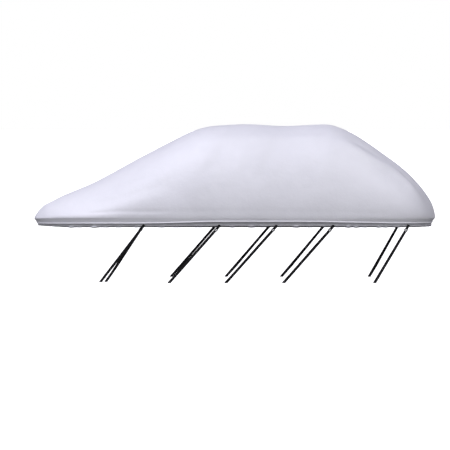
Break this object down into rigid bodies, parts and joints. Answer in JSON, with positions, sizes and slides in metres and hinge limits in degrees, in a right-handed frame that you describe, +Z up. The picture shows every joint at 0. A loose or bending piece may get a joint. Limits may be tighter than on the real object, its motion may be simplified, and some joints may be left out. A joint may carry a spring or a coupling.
{
  "type": "boat cover",
  "caption": "Fitted boat cover with a raised rounded roof, sloping bow, tucked skirt, gathered elastic hem and webbing tie-down loops.",
  "frame": {"origin": "under the cloth at the crown of the roof, at mid-length on the centreline", "axes": "+X aft along the cover, the bow pointing to -X; +Y to starboard; +Z up"},
  "size_m": [4.546, 1.9592, 1.7709],
  "materials": {
    "cloth": "coated woven polyester, silver grey with a lavender cast, soft satin sheen",
    "webbing": "black polypropylene webbing, ribbed",
    "plastic": "black moulded buckle, fine satin texture"
  },
  "bodies": {
    "root": {"cover": "cloth", "strap_port_1": "webbing", "tab_port_1": "webbing", "buckle_port_1": "plastic", "strap_port_2": "webbing", "tab_port_2": "webbing", "buckle_port_2": "plastic", "strap_port_3": "webbing", "tab_port_3": "webbing", "buckle_port_3": "plastic", "strap_port_4": "webbing", "tab_port_4": "webbing", "buckle_port_4": "plastic", "strap_port_5": "webbing", "tab_port_5": "webbing", "buckle_port_5": "plastic", "strap_starboard_1": "webbing", "tab_starboard_1": "webbing", "buckle_starboard_1": "plastic", "strap_starboard_2": "webbing", "tab_starboard_2": "webbing", "buckle_starboard_2": "plastic", "strap_starboard_3": "webbing", "tab_starboard_3": "webbing", "buckle_starboard_3": "plastic", "strap_starboard_4": "webbing", "tab_starboard_4": "webbing", "buckle_starboard_4": "plastic", "strap_starboard_5": "webbing", "tab_starboard_5": "webbing", "buckle_starboard_5": "plastic"}
  },
  "joints": []
}
